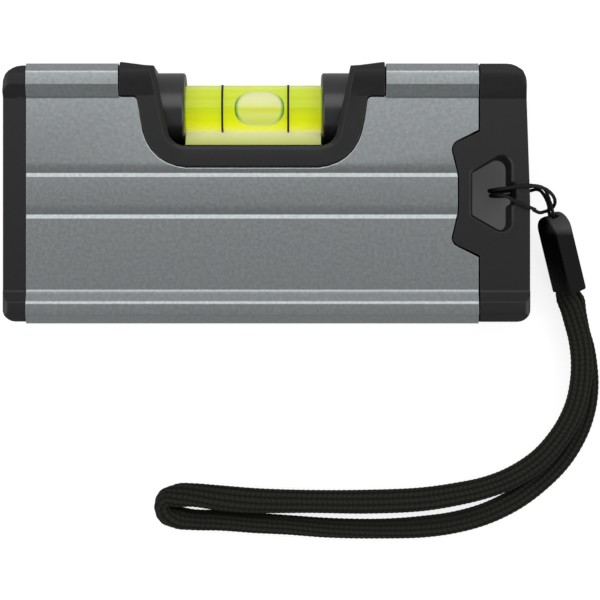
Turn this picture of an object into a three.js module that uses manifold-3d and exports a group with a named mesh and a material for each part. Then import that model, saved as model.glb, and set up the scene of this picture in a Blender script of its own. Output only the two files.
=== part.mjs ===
// A pocket spirit level, 10 cm long, lying on its back. X runs along the level, Y runs up its
// height towards the vial, and Z runs from its back (0) to its front. All lengths are millimetres.
import * as THREE from 'three';
import { mergeVertices } from 'three/addons/utils/BufferGeometryUtils.js';
import Module from 'manifold-3d';

const wasm = await Module();
wasm.setup();

const degree = Math.PI / 180;

// Whole level
const overallLength = 100;
const profileHeight = 49.3;
const profileThickness = 20;
const leftCapLength = 4.4;
const rightCapLength = 9.8;
const seam = 0.25; // gap between neighbouring pieces
const overrun = 2; // how far a cutter runs past what it cuts

// Section of the aluminium profile, alike on front and back
const longChamfer = 1.6; // along the four long edges
const faceWidth = 2.45; // flat rail beside each chamfer
const slopeWidth = 2.1; // from the rail down to the web
const webRecess = 1.5; // how far the web lies below the rails
const slopeFoot = 0.4; // small step between slope and web
const profileWall = 1.5;
const railWall = 1.9;
const cavityFillet = 0.8;
const grooveLip = 3.15; // height of the upper groove's lower edge above mid-height
const groovePitch = 7.9;
const grooveFall = 1.5; // long upper flank
const grooveFloor = 0.3;
const grooveRise = 0.9; // short lower flank
const grooveDepth = 0.3;

// End caps
const capInset = 0.15; // the caps stay this far inside the profile's outline
const leftShortfall = 0.35; // the left cap ends this far short of its top and bottom
const rightShortfall = 0.3; // the right cap ends this far short of its bottom only
const capTopFillet = 3.7;
const capBottomFillet = 2.4;
const capEdgeFillet = 1.2; // outer edge, front and back
const capLean = 0.85; // the right cap leans in this far at its top
const capLeanStart = -1.3; // height where the lean starts
const plugDepth = 6; // plug inside the profile
const plugLead = 0.6; // lead-in at the plug's end
const plugFillet = 0.6;

// Tongue of the right cap, in a notch of the profile
const tongueReach = 5.1; // of its two lobes, past the end of the profile
const tongueLobe = 9.25; // height of the lobes
const tongueLobeFillet = 1.6;
const tongueShoulder = 11.8; // half width at the end of the profile
const tongueWaist = 3.5; // half width of the drawn-in middle
const tongueWaistDepth = 1.4; // how far the middle is drawn in
const tongueWaistFillet = 2;

// Lanyard hole through the right cap
const barWidth = 3.15; // from the hole to the outer end of the cap
const holeLength = 8.3;
const holeLeftHalf = 4.33; // half height at its left side
const holeRightHalf = 9.1; // where the slanted sides would meet the right side
const holeLeftFillet = 1;
const holeRightFillet = 2.3;
const threadNotch = 0.9; // shallow notch that the thread sits in
const threadNotchHalf = 1.7;
const threadNotchFlare = 0.7;
const holeBevel = 0.5;

// Vial carrier, about its own centre line
const carrierCentre = -2.7;
const vialRoom = 2; // from the tube's ends to the sides of the opening, at its floor
const openingFloor = 8.15;
const sideStrip = 2.84; // strip beside the opening
const floorStrip = 2.8; // strip below it
const earShelf = 3.35; // ear, past the foot of the leaning side
const earFoot = 18.55;
const earRise = 0.35; // ears above the profile's top
const earDrop = 0.7; // fall of the ear's top towards the vial
const earFillet = 0.3;
const earInnerFillet = 1;
const carrierFront = 9; // front face above mid-thickness
const carrierFlare = 2.7; // the sides lean out this far up to the ears
const carrierFillet = 8.2;
const openingFillet = 4.4;
const openingBevel = 0.9;

// Vial
const vialCentre = -2.55;
const vialHeight = 16.4;
const tubeRadius = 4.6;
const tubeBore = 3.7;
const tubeLength = 28.5;
const tubeEndWall = 1.5;
const plugThickness = 1.5;
const boreFit = 0.2; // liquid and plug inside the bore
const lineSpacing = 12.6;
const lineOffset = 0.35; // of the pair of rings from the middle of the tube
const lineWidth = 0.42;
const lineFit = 0.1;
const lineThickness = 0.15;
const sleeveRadius = 7;
const sleeveGrip = 1.4; // the sleeves reach this far over the ends of the tube
const sleeveFit = 0.2;
const sleeveChamfer = 0.3;

// Bubble, about the middle of the tube
const bubbleLength = 9.5;
const bubbleWidth = 5.2;
const bubbleDepth = 3.8;
const bubbleLift = 1.5; // of its middle above the axis of the tube
const bubbleFit = 0.25;
const bubbleRest = 1.15; // where it floats, right of the middle of the tube
const channelEndWall = 0.4;

// Reflector saddle below the tube
const saddleBase = 13;
const saddleTop = 5;
const saddleFit = 0.55;

// Buckle of the wrist strap, and the knot inside it
const buckleWidth = 6;
const buckleThickness = 4.2;
const buckleLength = 15.8;
const buckleWall = 0.8;
const buckleEdge = 0.3;
const slotWidth = 3;
const slotThickness = 1.5;
const mouthX = 58.7;
const mouthY = -18.3;
const mouthZ = 3.65;
const buckleHeading = 15 * degree; // turn in the plane of the table
const bucklePitch = 17 * degree; // the thread end is held up
const buckleRoll = -62 * degree; // it lies on one long edge
const knotLength = 2.4;
const knotWidth = 3.2;
const knotThickness = 1.3;
const knotFit = 0.3;

// Cords
const threadDiameter = 0.7;
const threadSides = 8;
const threadSteps = 78;
const strapWidth = 4.4;
const strapThickness = 2.6;
const strapSides = 12;
const strapSteps = 80;

// Facets
const arcStep = 15 * degree;
const roundSides = 40;
const weld = 1e-4;

// Values that follow from the ones above
const halfHeight = profileHeight / 2;
const halfThickness = profileThickness / 2;
const webHalf = halfThickness - webRecess;
const railEdge = halfHeight - longChamfer - faceWidth;
const slopeEnd = railEdge - slopeWidth;
const bodyLeft = leftCapLength - overallLength / 2;
const bodyRight = overallLength / 2 - rightCapLength;
const cavityHalfHeight = halfHeight - railWall;
const cavityHalfThickness = webHalf - profileWall;
const openingHalf = tubeLength / 2 + vialRoom;
const carrierBottom = openingFloor - floorStrip;
const carrierBottomHalf = openingHalf + sideStrip;
const earReach = carrierBottomHalf + carrierFlare + earShelf;
const sleeveOpening = tubeLength - 2 * sleeveGrip;

// Basic shapes
const axisX = new THREE.Vector3(1, 0, 0);
const axisY = new THREE.Vector3(0, 1, 0);
const axisZ = new THREE.Vector3(0, 0, 1);
const alongX = new THREE.Matrix4().makeBasis(axisY, axisZ, axisX); // a sketch of Y and Z
const alongY = new THREE.Matrix4().makeBasis(axisZ, axisX, axisY); // a sketch of Z and X

// Corners of an outline run counter-clockwise, each as [x, y, fillet radius].
function neighbours(corners, index) {
  const [x, y] = corners[index];
  const [beforeX, beforeY] = corners.at(index - 1);
  const [afterX, afterY] = corners[(index + 1) % corners.length];
  const into = new THREE.Vector2(x - beforeX, y - beforeY).normalize();
  const out = new THREE.Vector2(afterX - x, afterY - y).normalize();
  return { corner: new THREE.Vector2(x, y), into, out };
}

// The loop of points through those corners, with an arc at each corner that has a radius.
function loopOf(corners) {
  return corners.flatMap(([, , radius = 0], index) => {
    const { corner, into, out } = neighbours(corners, index);
    if (radius === 0) return [corner];
    const turn = Math.atan2(into.cross(out), into.dot(out));
    const start = corner.clone().addScaledVector(into, -radius * Math.tan(Math.abs(turn) / 2));
    const side = new THREE.Vector2(-into.y, into.x).multiplyScalar(Math.sign(turn) * radius);
    const centre = start.clone().add(side);
    const steps = Math.ceil(Math.abs(turn) / arcStep);
    return Array.from({ length: steps + 1 }, (_, step) =>
      start.clone().rotateAround(centre, (turn * step) / steps));
  });
}

// The same outline with every side moved outwards, or inwards by a negative distance.
function grown(corners, distance) {
  return corners.map(([, , radius = 0], index) => {
    const { corner, into, out } = neighbours(corners, index);
    const outward = new THREE.Vector2(into.y + out.y, -into.x - out.x);
    corner.addScaledVector(outward, distance / (1 + into.dot(out)));
    const change = into.cross(out) > 0 ? distance : -distance;
    return [corner.x, corner.y, radius === 0 ? 0 : Math.max(radius + change, seam)];
  });
}

// A closed shape through loops that lie one above the other, as [loop, height].
function stack(...layers) {
  const count = layers[0][0].length;
  const positions = layers.flatMap(([loop, height]) => loop.flatMap(({ x, y }) => [x, y, height]));
  const lid = THREE.ShapeUtils.triangulateShape(layers[0][0], []);
  const top = (layers.length - 1) * count;
  const faces = lid.flatMap(([a, b, c]) => [c, b, a, top + a, top + b, top + c]);
  for (let low = 0; low < top; low += count) {
    for (let side = 0; side < count; side += 1) {
      const next = (side + 1) % count;
      faces.push(low + side, low + next, low + count + next);
      faces.push(low + side, low + count + next, low + count + side);
    }
  }
  const geometry = new THREE.BufferGeometry();
  geometry.setAttribute('position', new THREE.Float32BufferAttribute(positions, 3));
  geometry.setIndex(faces);
  return geometry;
}

function prism(corners, from, to) {
  const loop = loopOf(corners);
  return stack([loop, from], [loop, to]);
}

// A turned shape about the X axis, from a profile of [radius, x] points.
function turned(profile, sides = roundSides) {
  const points = profile.map(([radius, x]) => new THREE.Vector2(radius, x));
  return new THREE.LatheGeometry(points, sides).rotateZ(-Math.PI / 2);
}

function rod(radius, from, to) {
  return turned([[0, from], [radius, from], [radius, to], [0, to]]);
}

function solid(geometry) {
  geometry.deleteAttribute('normal');
  geometry.deleteAttribute('uv');
  const merged = mergeVertices(geometry, weld);
  const mesh = new wasm.Mesh({
    numProp: 3,
    vertProperties: merged.attributes.position.array,
    triVerts: Uint32Array.from(merged.index.array),
  });
  return new wasm.Manifold(mesh);
}

function geometryOf(shape) {
  const { vertProperties, triVerts } = shape.getMesh();
  const geometry = new THREE.BufferGeometry();
  geometry.setAttribute('position', new THREE.BufferAttribute(vertProperties, 3));
  geometry.setIndex(new THREE.BufferAttribute(triVerts, 1));
  geometry.computeVertexNormals();
  return geometry;
}

// Finishes, one for each kind of piece
const finishes = {
  aluminium: { color: '#8f9394', roughness: 0.42, metalness: 1 },
  blackPlastic: { color: '#2c2c2c', roughness: 0.55, metalness: 0 },
  glossBlack: { color: '#17181a', roughness: 0.15, metalness: 0 },
  clearTube: { color: '#e9f5a0', roughness: 0.05, metalness: 0 },
  liquid: { color: '#d3df2b', roughness: 0.1, metalness: 0 },
  bubble: { color: '#eef4bd', roughness: 0.1, metalness: 0 },
  whitePlastic: { color: '#d9dda0', roughness: 0.5, metalness: 0 },
  lineBlack: { color: '#1c2a10', roughness: 0.5, metalness: 0 },
  braid: { color: '#1f1f1f', roughness: 0.9, metalness: 0 },
};

const level = new THREE.Group();

function addPiece(name, shape, finish, parent = level) {
  const geometry = shape instanceof wasm.Manifold ? geometryOf(shape) : shape;
  const mesh = new THREE.Mesh(geometry, new THREE.MeshStandardMaterial(finishes[finish]));
  mesh.name = name;
  parent.add(mesh);
}

// Profile section

function mirroredBack(front) {
  const back = front.map(([y, z]) => [y, -z]).reverse();
  return [...front, ...back].map(([y, z]) => [y, z + halfThickness]);
}

function railCorners(edge, thickness, web) {
  return [
    [edge, thickness - longChamfer],
    [edge - longChamfer, thickness],
    [railEdge, thickness],
    [slopeEnd, web + slopeFoot],
    [slopeEnd, web],
  ];
}

function grooveCorners(lip) {
  const depth = webHalf - grooveDepth;
  return [
    [lip + grooveRise + grooveFloor + grooveFall, webHalf],
    [lip + grooveRise + grooveFloor, depth],
    [lip + grooveRise, depth],
    [lip, webHalf],
  ];
}

function upsideDown(corners) {
  return corners.map(([y, z]) => [-y, z]).reverse();
}

const profileRail = railCorners(halfHeight, halfThickness, webHalf);
const profileSection = mirroredBack([
  ...profileRail,
  ...grooveCorners(grooveLip),
  ...grooveCorners(grooveLip - groovePitch),
  ...upsideDown(profileRail),
]);

function capSection(top, bottom) {
  const upper = railCorners(top, halfThickness - capInset, webHalf - capInset);
  const lower = railCorners(bottom, halfThickness - capInset, webHalf - capInset);
  return mirroredBack([...upper, ...upsideDown(lower)]);
}

function rectangle(left, bottom, right, top, fillet = 0) {
  return [[left, bottom, fillet], [right, bottom, fillet], [right, top, fillet], [left, top, fillet]];
}

const cavity = rectangle(
  -cavityHalfHeight, halfThickness - cavityHalfThickness,
  cavityHalfHeight, halfThickness + cavityHalfThickness, cavityFillet);

// Outlines seen from the front

// The carrier's outline, and the opening in it. Their sides lean out by the same angle.
const leanPerHeight = carrierFlare / (earFoot - carrierBottom);
const carrierTop = halfHeight + earRise;
const openingTop = carrierTop + overrun;
const openingTopHalf = openingHalf + leanPerHeight * (openingTop - openingFloor);

function aboutCentre(rightHalf, centre) {
  const leftHalf = rightHalf.map(([x, y, fillet]) => [-x, y, fillet]).reverse();
  return [...rightHalf, ...leftHalf].map(([x, y, fillet]) => [x + centre, y, fillet]);
}

function carrierCorners(earTop, drop) {
  return aboutCentre([
    [carrierBottomHalf, carrierBottom, carrierFillet],
    [carrierBottomHalf + carrierFlare, earFoot, earInnerFillet],
    [earReach, earFoot, earFillet],
    [earReach, earTop, earFillet],
    [openingTopHalf, earTop - drop],
  ], carrierCentre);
}

const carrierOutline = carrierCorners(carrierTop, earDrop);
const seatOutline = carrierCorners(openingTop, 0);
const openingOutline = aboutCentre([
  [openingHalf, openingFloor, openingFillet],
  [openingTopHalf, openingTop],
], carrierCentre);

// The tongue's outline, left of the end of the profile.
const tongueTip = bodyRight - tongueReach;
const tongueOutline = [
  [bodyRight + overrun, tongueShoulder],
  [bodyRight, tongueShoulder],
  [tongueTip, tongueLobe, tongueLobeFillet],
  [tongueTip + tongueWaistDepth, tongueWaist, tongueWaistFillet],
  [tongueTip + tongueWaistDepth, -tongueWaist, tongueWaistFillet],
  [tongueTip, -tongueLobe, tongueLobeFillet],
  [bodyRight, -tongueShoulder],
  [bodyRight + overrun, -tongueShoulder],
];

// The lanyard hole, with the thread's notch in its right side.
const holeRight = overallLength / 2 - barWidth;
const holeLeft = holeRight - holeLength;
const holeOutline = [
  [holeLeft, -holeLeftHalf, holeLeftFillet],
  [holeRight, -holeRightHalf, holeRightFillet],
  [holeRight, -threadNotchHalf - threadNotchFlare],
  [holeRight + threadNotch, -threadNotchHalf],
  [holeRight + threadNotch, threadNotchHalf],
  [holeRight, threadNotchHalf + threadNotchFlare],
  [holeRight, holeRightHalf, holeRightFillet],
  [holeLeft, holeLeftHalf, holeLeftFillet],
];

// A cutter for an opening whose rims are bevelled at the front and at the back.
function bevelledOpening(outline, bevel, back, front) {
  const wide = loopOf(outline);
  const narrow = loopOf(grown(outline, -bevel));
  return solid(stack(
    [wide, back - overrun], [wide, back], [narrow, back + bevel],
    [narrow, front - bevel], [wide, front], [wide, front + overrun]));
}

// Aluminium profile
function makeProfile() {
  const bar = solid(prism(profileSection, bodyLeft, bodyRight).applyMatrix4(alongX));
  const inside = prism(cavity, bodyLeft - overrun, bodyRight + overrun).applyMatrix4(alongX);
  const seat = prism(grown(seatOutline, seam), -overrun, profileThickness + overrun);
  const notch = prism(grown(tongueOutline, seam), -overrun, profileThickness + overrun);
  return bar.subtract(solid(inside)).subtract(solid(seat)).subtract(solid(notch));
}

// End caps: the section of the profile, rounded at the outer end, with plugs for the cavity
function makePlug(bottom, top, inner, outer) {
  const side = cavityHalfThickness - seam;
  const outline = rectangle(bottom, halfThickness - side, top, halfThickness + side, plugFillet);
  const lead = Math.sign(outer - inner) * plugLead;
  const full = loopOf(outline);
  const tapered = loopOf(grown(outline, -plugLead));
  const layers = [[tapered, inner], [full, inner + lead], [full, outer]];
  const ordered = inner < outer ? layers : layers.reverse();
  return solid(stack(...ordered).applyMatrix4(alongX));
}

function roundedBlock(outline, section, from, to) {
  const bar = prism(section, from, to).applyMatrix4(alongX);
  const face = prism(outline, -overrun, profileThickness + overrun);
  return solid(bar).intersect(solid(face));
}

function makeLeftCap() {
  const outer = -overallLength / 2;
  const inner = bodyLeft - seam;
  const reach = halfHeight - leftShortfall;
  const outline = [
    [outer, -reach, capBottomFillet],
    [inner, -reach],
    [inner, reach],
    [outer, reach, capTopFillet],
  ];
  const edges = [
    [capInset, outer, capEdgeFillet],
    [profileThickness - capInset, outer, capEdgeFillet],
    [profileThickness - capInset, inner],
    [capInset, inner],
  ];
  const thickness = prism(edges, -halfHeight, halfHeight).applyMatrix4(alongY);
  const plugTop = cavityHalfHeight - seam;
  const plug = makePlug(-plugTop, plugTop, bodyLeft + plugDepth, inner - seam);
  const block = roundedBlock(outline, capSection(reach, reach), outer, inner);
  return block.intersect(solid(thickness)).add(plug);
}

function makeRightCap() {
  const outer = overallLength / 2;
  const inner = bodyRight + seam;
  const bottom = halfHeight - rightShortfall;
  const outline = [
    [inner, -bottom],
    [outer, -bottom, capBottomFillet],
    [outer, capLeanStart],
    [outer - capLean, halfHeight, capTopFillet],
    [inner, halfHeight],
    [inner, tongueShoulder],
    ...tongueOutline.slice(2, 6),
    [inner, -tongueShoulder],
  ];
  const edges = [
    [profileThickness - capInset, outer, capEdgeFillet],
    [capInset, outer, capEdgeFillet],
    [capInset, tongueTip - overrun],
    [profileThickness - capInset, tongueTip - overrun],
  ];
  const thickness = prism(edges, -halfHeight, halfHeight).applyMatrix4(alongY);
  const section = capSection(halfHeight, bottom);
  const bar = roundedBlock(outline, section, tongueTip - overrun, outer);
  const plugTop = cavityHalfHeight - seam;
  const plugBottom = tongueShoulder + seam;
  const upper = makePlug(plugBottom, plugTop, bodyRight - plugDepth, inner + seam);
  const lower = makePlug(-plugTop, -plugBottom, bodyRight - plugDepth, inner + seam);
  const back = halfThickness - webHalf + capInset;
  const hole = bevelledOpening(holeOutline, holeBevel, back, profileThickness - back);
  return bar.intersect(solid(thickness)).add(upper).add(lower).subtract(hole);
}

// Vial carrier: one moulding, its ears level with the rails and its strip just above the web
function makeCarrier() {
  const section = mirroredBack([
    [carrierTop, halfThickness - longChamfer],
    [carrierTop - longChamfer, halfThickness],
    [railEdge, halfThickness],
    [slopeEnd, carrierFront],
    [carrierBottom - overrun, carrierFront],
  ]);
  const reach = earReach + overrun;
  const bar = prism(section, carrierCentre - reach, carrierCentre + reach).applyMatrix4(alongX);
  const face = prism(carrierOutline, -overrun, profileThickness + overrun);
  const back = halfThickness - carrierFront;
  const front = halfThickness + carrierFront;
  const opening = bevelledOpening(openingOutline, openingBevel, back, front);
  return solid(bar).intersect(solid(face)).subtract(opening);
}

// Vial pieces, turned about the X axis and lifted to the axis of the tube
function atVial(geometry) {
  return geometry.translate(0, vialHeight, halfThickness);
}

const tubeLeft = vialCentre - tubeLength / 2;
const tubeRight = vialCentre + tubeLength / 2;
const liquidRadius = tubeBore - boreFit;
const liquidLeft = tubeLeft + tubeEndWall + boreFit;
const liquidRight = tubeRight - plugThickness - boreFit - seam;

function makeTube() {
  return atVial(turned([
    [0, tubeLeft], [tubeRadius, tubeLeft], [tubeRadius, tubeRight],
    [tubeBore, tubeRight], [tubeBore, tubeLeft + tubeEndWall], [0, tubeLeft + tubeEndWall],
  ]));
}

function makePlugDisc() {
  const right = tubeRight - seam;
  return atVial(rod(liquidRadius, right - plugThickness, right));
}

function makeLine(middle) {
  const inner = tubeRadius + lineFit;
  const outer = inner + lineThickness;
  const left = middle - lineWidth / 2;
  const right = middle + lineWidth / 2;
  return atVial(turned([[inner, left], [outer, left], [outer, right], [inner, right], [inner, left]]));
}

// A sleeve caps one end of the tube and fills the room out to the carrier's leaning side.
function makeSleeve(side) {
  const inner = side * (sleeveOpening / 2);
  const outer = side * (openingTopHalf + overrun);
  const seat = side * (tubeLength / 2 + sleeveFit);
  const bore = tubeRadius + sleeveFit;
  const profile = [
    [0, outer], [sleeveRadius, outer], [sleeveRadius, inner + side * sleeveChamfer],
    [sleeveRadius - sleeveChamfer, inner], [bore, inner], [bore, seat], [0, seat],
  ];
  const cap = atVial(turned(side > 0 ? profile.reverse() : profile).translate(vialCentre, 0, 0));
  const room = prism(grown(openingOutline, -openingBevel - seam), 0, profileThickness);
  return solid(cap).intersect(solid(room));
}

function bubbleShape(length, width, depth) {
  const shape = new THREE.SphereGeometry(1, roundSides / 2, roundSides / 4).rotateZ(Math.PI / 2);
  return shape.scale(length / 2, width / 2, depth / 2);
}

const bubbleMiddle = vialCentre + bubbleRest;

function makeBubble() {
  const bubble = bubbleShape(bubbleLength, bubbleWidth, bubbleDepth);
  bubble.translate(bubbleMiddle, 0, bubbleLift);
  const room = rod(liquidRadius - boreFit, bubbleMiddle - bubbleLength, bubbleMiddle + bubbleLength);
  return solid(atVial(bubble)).intersect(solid(atVial(room)));
}

// The liquid, with a channel along its upper side that the bubble runs in.
function makeLiquid() {
  const halfWidth = bubbleWidth / 2 + bubbleFit;
  const halfDepth = bubbleDepth / 2 + bubbleFit;
  const steps = Math.round(Math.PI / arcStep);
  const trough = Array.from({ length: steps + 1 }, (_, step) => {
    const angle = Math.PI + (Math.PI * step) / steps;
    return [Math.cos(angle) * halfWidth, bubbleLift + Math.sin(angle) * halfDepth];
  });
  const outline = [...trough, [halfWidth, tubeRadius], [-halfWidth, tubeRadius]];
  const left = liquidLeft + channelEndWall;
  const right = liquidRight - channelEndWall;
  const channel = prism(outline, left, right).applyMatrix4(alongX);
  return solid(atVial(rod(liquidRadius, liquidLeft, liquidRight))).subtract(solid(atVial(channel)));
}

// Saddle of pale plastic between the carrier's floor and the underside of the tube.
function makeReflector() {
  const floor = openingFloor + openingBevel + seam - vialHeight;
  const hollow = tubeRadius + saddleFit;
  const spread = Math.asin(saddleTop / 2 / hollow);
  const steps = Math.ceil((2 * spread) / arcStep);
  const cradle = Array.from({ length: steps + 1 }, (_, step) => {
    const angle = spread - (2 * spread * step) / steps;
    return [-Math.cos(angle) * hollow, Math.sin(angle) * hollow];
  });
  const outline = [[floor, saddleBase / 2], [floor, -saddleBase / 2], ...cradle.reverse()];
  const reach = sleeveOpening / 2 - seam;
  const saddle = prism(outline, vialCentre - reach, vialCentre + reach).applyMatrix4(alongX);
  const room = prism(grown(openingOutline, -openingBevel - seam), 0, profileThickness);
  return solid(atVial(saddle)).intersect(solid(room));
}

// Buckle, drawn with its mouth at the origin and its round end up the Y axis
function archLoop(width, length) {
  const half = width / 2;
  const steps = Math.round(Math.PI / arcStep);
  const arch = Array.from({ length: steps + 1 }, (_, step) => {
    const angle = (Math.PI * step) / steps;
    return new THREE.Vector2(Math.cos(angle) * half, length - half + Math.sin(angle) * half);
  });
  return [new THREE.Vector2(-half, 0), new THREE.Vector2(half, 0), ...arch];
}

function makeBuckle() {
  const half = buckleThickness / 2;
  const full = archLoop(buckleWidth, buckleLength);
  const slim = archLoop(buckleWidth - 2 * buckleEdge, buckleLength - buckleEdge);
  const body = solid(stack(
    [slim, -half], [full, buckleEdge - half], [full, half - buckleEdge], [slim, half]));
  const room = archLoop(buckleWidth - 2 * buckleWall, buckleLength - buckleWall);
  const inside = stack([room, buckleWall - half], [room, half - buckleWall]);
  const mouth = rectangle(
    buckleWall - buckleWidth / 2, -overrun, buckleWidth / 2 - buckleWall, overrun);
  const mouthCut = solid(prism(mouth, buckleWall - half, half - buckleWall));
  const slot = rectangle(
    -slotWidth / 2, buckleLength - buckleWidth / 2, slotWidth / 2, buckleLength + overrun);
  const slotCut = solid(prism(slot, -slotThickness / 2, slotThickness / 2));
  return body.subtract(solid(inside)).subtract(mouthCut).subtract(slotCut);
}

function makeKnot() {
  const knot = new THREE.SphereGeometry(1, roundSides / 2, roundSides / 4);
  knot.scale(knotWidth / 2, knotLength / 2, knotThickness / 2);
  return solid(knot.translate(0, buckleLength - buckleWall - slotWidth, 0));
}

// Cords, along points chosen by eye
function cord(route, width, thickness, sides, steps) {
  const path = new THREE.CatmullRomCurve3(route.map((point) => new THREE.Vector3(...point)));
  const section = Array.from({ length: sides }, (_, side) => {
    const angle = (2 * Math.PI * (side + 0.5)) / sides;
    return new THREE.Vector2((Math.cos(angle) * thickness) / 2, (Math.sin(angle) * width) / 2);
  });
  return new THREE.ExtrudeGeometry(new THREE.Shape(section), { steps, extrudePath: path });
}

// The thread leaves the buckle, goes round the back of the bar, up through the lanyard hole, over
// the front of the bar, round its own standing strands, and back the same way.
const threadRoute = [
  [55.65, -5.85, 8.05], [55.3, -4.6, 8.5], [55.05, -3.5, 8.9], [54.8, -2.5, 9.3],
  [54.5, -1.4, 9.1], [54.2, -0.2, 7.8], [53.95, 0.9, 6.0], [53.4, 1.65, 3.9], [52.4, 2.0, 2.1],
  [51.2, 1.9, 1.0], [49.6, 1.6, 0.6], [47.6, 1.2, 0.6], [46.0, 0.95, 1.1], [44.3, 0.85, 3.0],
  [43.1, 0.8, 6.3], [42.75, 0.8, 10.0], [43.1, 0.8, 14.0], [44.0, 0.85, 17.3],
  [45.4, 1.0, 18.9], [47.2, 1.25, 19.25], [49.3, 1.5, 19.4], [50.75, 1.45, 18.9],
  [51.9, 1.25, 17.0], [53.2, 1.15, 14.6], [54.4, 0.45, 12.6], [55.3, -0.3, 10.4],
  [55.2, -1.2, 8.2], [55.05, -2.0, 6.6], [54.4, -2.7, 6.2], [53.55, -3.15, 6.95],
  [52.55, -3.4, 9.2], [51.6, -3.2, 12.0], [50.95, -3.05, 14.8], [50.95, -3.05, 17.3],
  [50.6, -2.95, 18.95], [49.1, -2.4, 19.4], [47.2, -1.55, 19.25], [45.6, -0.6, 19.0],
  [44.2, -0.25, 17.6], [43.3, -0.1, 14.0], [43.0, -0.1, 10.0], [43.35, -0.1, 6.2],
  [44.5, -0.05, 2.9], [46.1, 0.05, 1.1], [47.7, 0.3, 0.6], [49.6, 0.6, 0.6],
  [51.1, 0.9, 0.9], [52.2, 1.05, 1.8], [52.95, 0.8, 3.4], [53.5, 0.1, 5.2],
  [54.0, -1.0, 6.9], [54.3, -2.1, 8.0], [54.4, -3.3, 7.8], [54.67, -4.55, 7.4],
  [54.97, -5.65, 7.05],
];

// The strap leaves the mouth of the buckle low, runs out, folds back and comes in on top.
const strapRoute = [
  [59.0, -18.3, 2.15], [59.45, -19.95, 1.8], [59.85, -21.5, 1.55], [60.2, -24.1, 1.45],
  [60.8, -26.6, 1.45], [61.6, -29.4, 1.45], [62.2, -33.1, 1.45], [62.4, -37.0, 1.45],
  [61.9, -41.3, 1.45], [60.3, -46.1, 1.45], [57.2, -51.2, 1.45], [53.1, -55.4, 1.45],
  [48.3, -59.0, 1.45], [42.6, -61.8, 1.45], [36.6, -63.5, 1.45], [30.0, -64.4, 1.45],
  [21.9, -64.6, 1.45], [12.4, -64.5, 1.45], [4.0, -64.0, 1.45], [-2.4, -63.6, 1.45],
  [-9.0, -63.2, 1.45], [-14.5, -62.9, 1.45], [-17.6, -62.75, 1.45], [-19.3, -61.9, 1.45],
  [-19.95, -60.4, 1.45], [-19.3, -58.9, 1.45], [-17.6, -58.05, 1.45], [-14.5, -58.0, 1.45],
  [-8.9, -58.5, 1.45], [-2.4, -59.1, 1.45], [8.7, -59.4, 1.45], [20.0, -59.5, 1.45],
  [30.0, -59.0, 1.45], [37.0, -58.0, 1.6], [42.6, -56.6, 2.5], [47.6, -54.6, 3.8],
  [52.5, -51.4, 4.3], [55.6, -48.2, 4.35], [58.2, -44.4, 4.35], [60.0, -40.2, 4.35],
  [60.85, -35.9, 4.35], [61.0, -31.7, 4.35], [60.5, -27.6, 4.4], [59.8, -24.4, 4.5],
  [58.9, -21.2, 4.7], [58.5, -19.25, 5.15],
];

// The pieces
addPiece('body_extrusion', makeProfile(), 'aluminium');
addPiece('end_cap_left', makeLeftCap(), 'blackPlastic');
addPiece('end_cap_right', makeRightCap(), 'blackPlastic');
addPiece('vial_carrier', makeCarrier(), 'blackPlastic');
addPiece('vial_sleeve_left', makeSleeve(-1), 'glossBlack');
addPiece('vial_sleeve_right', makeSleeve(1), 'glossBlack');
addPiece('vial_reflector', makeReflector(), 'whitePlastic');
addPiece('vial_tube', makeTube(), 'clearTube');
addPiece('vial_plug', makePlugDisc(), 'whitePlastic');
addPiece('vial_liquid', makeLiquid(), 'liquid');
addPiece('bubble', makeBubble(), 'bubble');
const linesMiddle = vialCentre + lineOffset;
addPiece('vial_line_left', makeLine(linesMiddle - lineSpacing / 2), 'lineBlack');
addPiece('vial_line_right', makeLine(linesMiddle + lineSpacing / 2), 'lineBlack');

const buckle = new THREE.Group();
buckle.position.set(mouthX, mouthY, mouthZ);
buckle.rotation.set(bucklePitch, buckleRoll, buckleHeading, 'ZXY');
addPiece('lanyard_buckle', makeBuckle(), 'blackPlastic', buckle);
addPiece('thread_knot', makeKnot(), 'braid', buckle);
level.add(buckle);

const thread = cord(threadRoute, threadDiameter, threadDiameter, threadSides, threadSteps);
addPiece('lanyard_thread', thread, 'braid');
const strap = cord(strapRoute, strapWidth, strapThickness, strapSides, strapSteps);
addPiece('lanyard_strap', strap, 'braid');

// The origin is the middle of the level's back: the ears stand above the profile's top.
level.position.y = -earRise / 2;

export default level;
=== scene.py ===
# %% [markdown]
# # A pocket spirit level on a white table
#
# The object is a 10 cm aluminium level with black end caps, a tube vial set in its top edge and a
# braided wrist strap on a loop of thread. The frame holds its solids at their true size. This
# script puts finished surfaces around that frame: softened edges, materials, cords and light.
# Lengths are in metres, X runs along the level, Y up its height and Z towards the viewer.

import math

import bpy
import numpy as np
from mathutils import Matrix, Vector


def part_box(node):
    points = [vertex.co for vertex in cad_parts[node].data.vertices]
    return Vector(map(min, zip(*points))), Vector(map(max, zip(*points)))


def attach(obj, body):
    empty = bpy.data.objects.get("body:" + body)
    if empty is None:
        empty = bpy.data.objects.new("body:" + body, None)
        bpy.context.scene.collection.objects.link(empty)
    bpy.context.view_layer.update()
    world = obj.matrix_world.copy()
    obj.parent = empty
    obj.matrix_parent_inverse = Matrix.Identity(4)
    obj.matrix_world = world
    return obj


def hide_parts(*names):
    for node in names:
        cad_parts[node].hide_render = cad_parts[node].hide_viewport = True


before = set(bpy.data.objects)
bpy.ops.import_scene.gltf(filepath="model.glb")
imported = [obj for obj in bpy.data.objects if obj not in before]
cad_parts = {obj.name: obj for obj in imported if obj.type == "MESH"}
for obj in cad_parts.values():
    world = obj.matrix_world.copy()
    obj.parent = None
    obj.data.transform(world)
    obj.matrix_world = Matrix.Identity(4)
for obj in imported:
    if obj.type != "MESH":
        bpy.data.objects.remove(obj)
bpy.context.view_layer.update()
MM = 0.001
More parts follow.
